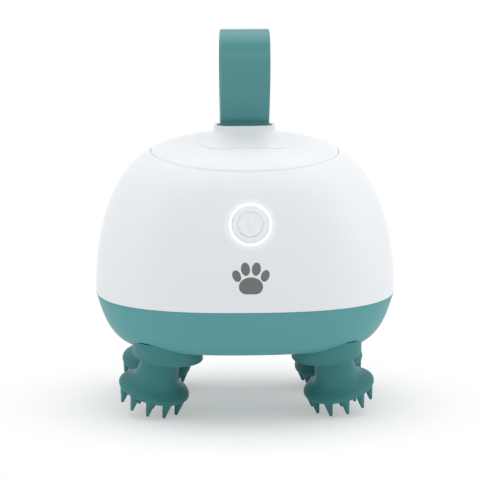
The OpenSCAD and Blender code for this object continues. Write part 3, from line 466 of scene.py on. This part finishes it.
def rounds(profile, count=96):
    """Turned shape whose heights are measured from the dome's face."""
    p = np.array(profile, float)
    a = bearings(count)
    lift = np.broadcast_to(p[:, 1:], (len(p), count))
    return on_face(p[:, :1] * np.cos(a), p[:, :1] * np.sin(a), lift)


def glow(mat, strength):
    """Gives the surface a plain white light of its own."""
    surface = mat.node_tree.nodes["Principled BSDF"]
    surface.inputs["Emission Color"].default_value = (1, 1, 1, 1)
    surface.inputs["Emission Strength"].default_value = strength


# The profiles are (radius, height) pairs, the cap's from its skirt to the eye's middle
# and the ring's from the inner wall to the outer one.
CAP_R, RING_IN, RING_OUT, SKIRT = 5.86, 6.04, 7.1, -3.5
BAR_LONG, BAR_WIDE = 4.0, 1.0
satin_cap = moulded("satin_cap", (0.80, 0.82, 0.845), 0.36, spread=0.008, relief=0.01)
# Painted glow: the cap gives off a faint white light of its own, where the lit ring's light would
# fall on it.
glow(satin_cap, 0.05)
cap = [(CAP_R, SKIRT), (CAP_R, -0.25)] + arc(CAP_R - 0.25, -0.2, 0.25, 0, 90, 5)
cap += [(5.2, 0.06), (4.6, 0.07), (4.25, 0.06)]
cap += [(4.14, -0.04), (4.08, -0.28), (3.94, -0.28), (3.9, 0.12)]
cap += arc(3.7, 0.16, 0.2, 20, 100, 5)
cap += [(3.3, 0.27), (2.9, 0.2), (2.2, 0.12), (1.2, 0.08), (0.05, 0.07)]
piece("button_cap", [(rounds(cap), False, True)], satin_cap, "button",
      ["power_button"], caps=[(0, -1)])
bar = []
for inset, lift in [(0.0, 0.02), (0.0, 0.3), (0.06, 0.38), (0.16, 0.42), (0.3, 0.42),
                    (0.42, 0.42)]:
    s = stadium(BAR_LONG - 2 * inset, BAR_WIDE - 2 * inset)
    bar.append(on_face(s[:, 1], s[:, 0], np.full(len(s), lift)))
piece("button_bar", [(bar, False, True)], satin_cap, "button", caps=[(0, -1)])
lit_ring = moulded("lit_ring", (0.9, 0.9, 0.9), 0.4, spread=0.01)
glow(lit_ring, 0.22)
lens = [(RING_IN, SKIRT), (RING_IN, -0.2)] + arc(RING_IN + 0.18, -0.14, 0.18, 180, 90, 4)
lens += [(6.6, 0.08)] + arc(RING_OUT - 0.18, -0.1, 0.18, 90, 0, 4) + [(RING_OUT, SKIRT)]
piece("glow_ring", [(rounds(lens), False, True)], lit_ring, "base",
      ["light_ring"])

# PRINT
# A plain paw print in dark grey ink below the button, a few hundredths thick. It is
# four toes and a pad with a dented lower edge, laid on the dome's face.
PRINT_Z, INK_T = 51.2, 0.03
grey_ink = moulded("grey_ink", (0.14, 0.15, 0.148), 0.5, spread=0.06)
pads = []
a = bearings(48)
lower = np.clip(-np.sin(a), 0, 1) ** 4
for px, pz, rx, rz, turn, dent in [(0, -2.6, 3.9, 3.1, 0, 0.22),
                                   (-4.6, 0.9, 1.35, 1.95, 22, 0), (-1.75, 3.1, 1.45, 2.15, 8, 0),
                                   (1.75, 3.1, 1.45, 2.15, -8, 0), (4.6, 0.9, 1.35, 1.95, -22, 0)]:
    c, s = math.cos(math.radians(turn)), math.sin(math.radians(turn))
    pad = []
    for r in (1.0, 0.98, 0.8, 0.6, 0.4, 0.2, 0.02):
        u, v = r * rx * np.cos(a), r * rz * np.sin(a) * (1 - dent * lower * r)
        x, z = px + u * c - v * s, PRINT_Z + pz + u * s + v * c
        pad.append(np.stack([x, -face_y(x, z) - (INK_T if r < 1 else 0.0), z], -1))
    pads.append((pad, False, True))
piece("paw_print", pads, grey_ink, "base")

# MASSAGE HEADS
# Four soft heads of teal silicone, each moulded in one piece over a rigid hub: an upper
# round with a leaning rim, a waisted neck, and a leaning bell with a thin rim and three
# rings of blunt cone-shaped nibs. The rear heads are parked at a turn of their own.
DISC = np.array([-4.65603, 5.35615, 8.52071])
LEAN, RIM_LEAN, BELL_LEAN = math.radians(-49), math.radians(8), math.radians(19)
FLANGE_R, FLANGE_Z, FLANGE_TOP, NECK_R = 11.6, 21.0, 26.7, 6.4
BELL_R, BELL_HALF, BELL_N, BELL_EDGE = 12.0, 2.5, 2.6, 0.33
NECK_LEN = (FLANGE_Z - DISC[2]) / math.cos(BELL_LEAN)
NIB_TIP, NIB_ROOT_Z, NIB_LIMIT = 0.55, 0.75, 11.75
OUTER_NIBS, NIB_START = 11, 0.416
th = bearings(120)
circle = np.stack([np.cos(th), np.sin(th), 0 * th], -1)


def leant(tilt):
    """Turn that leans the Z axis by tilt towards the bearing LEAN."""
    c, s = math.cos(tilt), math.sin(tilt)
    towards = np.array([[math.cos(LEAN), -math.sin(LEAN), 0],
                        [math.sin(LEAN), math.cos(LEAN), 0],
                        [0, 0, 1]])
    return towards @ np.array([[c, 0, s], [0, 1, 0], [-s, 0, c]])


# Upper round: an upright wall down to the leaning rim, and a flat underside within it.
rim_turn, bell_turn = leant(RIM_LEAN), leant(BELL_LEAN)
rim_mid = np.array([0, 0, FLANGE_Z])
low_side = FLANGE_Z - FLANGE_R * math.tan(RIM_LEAN) * np.cos(th)
skin = []
for f in (0.0, 0.25, 0.5, 0.7, 0.85):
    wall_z = FLANGE_TOP + (low_side[:, None] + 0.9 - FLANGE_TOP) * f
    skin.append(circle @ leant(0).T * FLANGE_R + wall_z * [0, 0, 1])
rim = [(FLANGE_R + 0.01, 0.72)] + arc(11.3, 0.28, 0.42, 45, -75, 8)
rim += [(11.0, -0.08), (10.5, 0.25), (9.9, 0.5), (9.3, 0.6)]
for r, z in rim:
    skin.append((circle * r + [0, 0, z]) @ rim_turn.T + rim_mid)

# Fillet: rows go over from the rim's lean and middle to the neck's.
neck_top = DISC + bell_turn @ np.array([0, 0, NECK_LEN])
for r, z, w in [(8.6, 0.52, 0.25), (7.9, 0.25, 0.55), (7.3, -0.3, 0.82)]:
    upper = (circle * r + [0, 0, z]) @ rim_turn.T + rim_mid + w * (neck_top - rim_mid)
    lower = (circle * r + [0, 0, NECK_LEN + z]) @ bell_turn.T + DISC
    skin.append(upper * (1 - w) + lower * w)

# Neck and bell: the radius widens as one over a power of the height above the rim.
stem = [(6.9, NECK_LEN - 1.0), (6.62, NECK_LEN - 1.8), (6.47, NECK_LEN - 2.7)]
for z in 0.75 + 8.6 * np.linspace(1, 0, 22) ** 1.5:
    stem.append((NECK_R + (BELL_R - NECK_R) / (1 + ((z - 0.3) / BELL_HALF) ** BELL_N), z))
stem += arc(BELL_R - BELL_EDGE, 0.4, BELL_EDGE, 50, -90, 7) + [(11.4, 0.05), (11.1, 0.02)]
stem += [(r, 0.0) for r in (9.5, 7.5, 5.5, 3.5, 1.5, 0.3)]
skin += [(circle * r + [0, 0, z]) @ bell_turn.T + DISC for r, z in stem]

# Nibs: each ring is (radius, number, length, first bearing), and the outer ones are
# trimmed to stay within the bell's rim.
nibs = []
first = -NIB_START * 360 / OUTER_NIBS
for ring_r, count, long, start in [(10.1, OUTER_NIBS, 5.6, first), (6.36, 8, 4.2, 8),
                                   (2.83, 4, 4.2, 10)]:
    tip = long - NIB_TIP
    cone = [(2.05, 0.1), (1.74, -0.08), (1.56, -0.35), (1.44, -NIB_ROOT_Z)]
    cone += [(NIB_TIP + 0.89 * (1 - v) ** 0.95, -NIB_ROOT_Z - (tip - NIB_ROOT_Z) * v)
             for v in (0.15, 0.3, 0.45, 0.6, 0.75, 0.9, 1.0)]
    cone += arc(0, -tip, NIB_TIP, -18, -88, 6)
    for i in range(count):
        az = math.radians(start + 360 * i / count)
        shape = turned(cone, (ring_r * math.cos(az), ring_r * math.sin(az), 0), count=24)
        if count == OUTER_NIBS:
            far = np.hypot(shape[..., 0], shape[..., 1])
            shape[..., :2] *= (np.minimum(far, NIB_LIMIT) / far)[..., None]
        nibs.append((shape @ bell_turn.T + DISC, False, True))

# The heads' silicone is the strap's teal made matt and darker; the darker colour is painted shade,
# for the shade under the body.
matt_silicone_painted_shade = moulded("matt_silicone_painted_shade", (0.058, 0.226, 0.233), 0.42, relief=0.04, gleam=0.15)
for name, sx, sy, park in [("fl", -1, -1, 0), ("fr", 1, -1, 0), ("rl", -1, 1, -15),
                           ("rr", 1, 1, -4)]:
    c, s = math.cos(math.radians(park)), math.sin(math.radians(park))
    about = np.array([[c, s, 0], [-s, c, 0], [0, 0, 1]])
    place = [sx * HEAD_X, sy * HEAD_Y, 0]
    placed = [(np.array(pts) @ about * [-sx, 1, 1] + place, in_rows, in_columns)
              for pts, in_rows, in_columns in [(skin, False, True)] + nibs]
    piece("head_silicone_" + name, placed, matt_silicone_painted_shade, "head_" + name,
          ["massage_head_" + name])

# SOCKET COVER
# Soft flap of white silicone at the back, flush in its recess, hinged at its lower edge.
# Its face has a small round all about and its back a wider one.
FLAP_W, FLAP_H, FLAP_T = 13.0, 7.4, 1.25
white_silicone = moulded("white_silicone", (0.76, 0.78, 0.81), 0.5, spread=0.01, relief=0.04)
lid = [port(FLAP_W - inset, FLAP_H - inset, depth)
       for inset, depth in [(3.0, FLAP_T), (0.1, FLAP_T), (0.0, 1.1), (0.0, 0.25),
                            (0.1, 0.08), (0.3, 0.0), (1.0, 0.0), (3.0, 0.0), (5.0, 0.0),
                            (7.0, 0.0)]]
piece("port_flap", [(lid, False, True)], white_silicone, "cover",
      ["port_cover"], caps=[(0, 0), (0, -1)])

# GROUND
# A plain white ground that keeps the object's soft shadow. To the camera and in
# reflections it goes over into the white behind it within 120 mm of the middle.
WHITE_RAYS = ("Is Camera Ray", "Is Glossy Ray", "Is Transmission Ray")


def white_to_rays(tree, lit, share):
    """Shows the share of plain white in place of the lit shader to the rays of WHITE_RAYS."""
    path = tree.nodes.new("ShaderNodeLightPath")
    most = path.outputs[WHITE_RAYS[0]]
    for name in WHITE_RAYS[1:]:
        either = tree.nodes.new("ShaderNodeMath")
        either.operation = "MAXIMUM"
        tree.links.new(most, either.inputs[0])
        tree.links.new(path.outputs[name], either.inputs[1])
        most = either.outputs[0]
    part = tree.nodes.new("ShaderNodeMath")
    part.operation = "MULTIPLY"
    tree.links.new(most, part.inputs[0])
    if isinstance(share, float):
        part.inputs[1].default_value = share
    else:
        tree.links.new(share, part.inputs[1])
    sort = "ShaderNodeBackground" if lit.node.type == "BACKGROUND" else "ShaderNodeEmission"
    white = tree.nodes.new(sort)
    white.inputs["Color"].default_value = (1, 1, 1, 1)
    white.inputs["Strength"].default_value = 1.0
    pick = tree.nodes.new("ShaderNodeMixShader")
    tree.links.new(part.outputs[0], pick.inputs[0])
    tree.links.new(lit, pick.inputs[1])
    tree.links.new(white.outputs[0], pick.inputs[2])
    return pick.outputs[0]


bpy.ops.mesh.primitive_plane_add(size=6, location=(0, 0, 0))
ground = bpy.context.object
ground.name = "ground"
pale = bpy.data.materials.new("pale_ground")
pale.use_nodes = True
tree = pale.node_tree
matte = tree.nodes["Principled BSDF"]
matte.inputs["Base Color"].default_value = (0.97, 0.97, 0.97, 1)
matte.inputs["Roughness"].default_value = 0.9
matte.inputs["Specular IOR Level"].default_value = 0.0
where = tree.nodes.new("ShaderNodeTexCoord")
away = tree.nodes.new("ShaderNodeVectorMath")
away.operation = "LENGTH"
tree.links.new(where.outputs["Object"], away.inputs[0])
whiter = fade(tree, away.outputs["Value"], 0.03, 0.12, 0.36, 1.0)
tree.links.new(white_to_rays(tree, matte.outputs[0], whiter),
               tree.nodes["Material Output"].inputs["Surface"])
ground.data.materials.append(pale)

world = bpy.data.worlds.new("studio")
scene.world = world
world.use_nodes = True
tree = world.node_tree
sky = tree.nodes["Background"]
sky.inputs["Color"].default_value = (1, 1, 1, 1)
sky.inputs["Strength"].default_value = 0.51
tree.links.new(white_to_rays(tree, sky.outputs[0], 1.0),
               tree.nodes["World Output"].inputs["Surface"])

# LAMPS
# Large soft boxes above, at both sides and in front, as in a small product studio. All
# of them face the middle of the body.
BODY_MIDDLE = np.array([0, 0, 0.05])


def softbox(name, place, size, power):
    """Area lamp at place that faces BODY_MIDDLE."""
    lamp = bpy.data.lights.new(name, "AREA")
    lamp.shape, lamp.size, lamp.size_y, lamp.energy = "RECTANGLE", size[0], size[1], power
    obj = bpy.data.objects.new(name, lamp)
    scene.collection.objects.link(obj)
    x, y, z = np.array(place, float) - BODY_MIDDLE
    obj.location = place
    obj.rotation_euler = (math.atan2(math.hypot(x, y), z), 0, math.atan2(y, x) + math.pi / 2)


softbox("overhead", (0, 0.1, 1.1), (1.4, 1.2), 7.3)
softbox("left_side", (-1.0, -0.1, 0.5), (0.9, 0.9), 2.0)
softbox("right_side", (1.0, -0.1, 0.5), (0.9, 0.9), 3.0)
softbox("front_fill", (0, -1.6, 0.55), (1.2, 0.7), 1.8)

# CAMERA
# The photograph's view: 2.8 degrees to the left of the front and 11.3 above level, from
# 0.9 m away, with the frame moved so that the body stands where it does there.
STAND_OFF, LOOK_AT, FRAME = 0.9, np.array([0, 0, 0.040]), 480
camera = bpy.data.cameras.new("camera")
camera.sensor_width, camera.lens, camera.clip_end = 36.0, 203.7, 20
az, el = math.radians(-2.8), math.radians(11.28)
towards = np.array([math.sin(az) * math.cos(el), -math.cos(az) * math.cos(el), math.sin(el)])
view = bpy.data.objects.new("camera", camera)
scene.collection.objects.link(view)
view.location = LOOK_AT + STAND_OFF / math.cos(el) * towards
view.rotation_euler = (math.pi / 2 - el, 0, az)
camera.shift_x, camera.shift_y = -4.5 / FRAME, 47.2 / FRAME
scene.camera = view
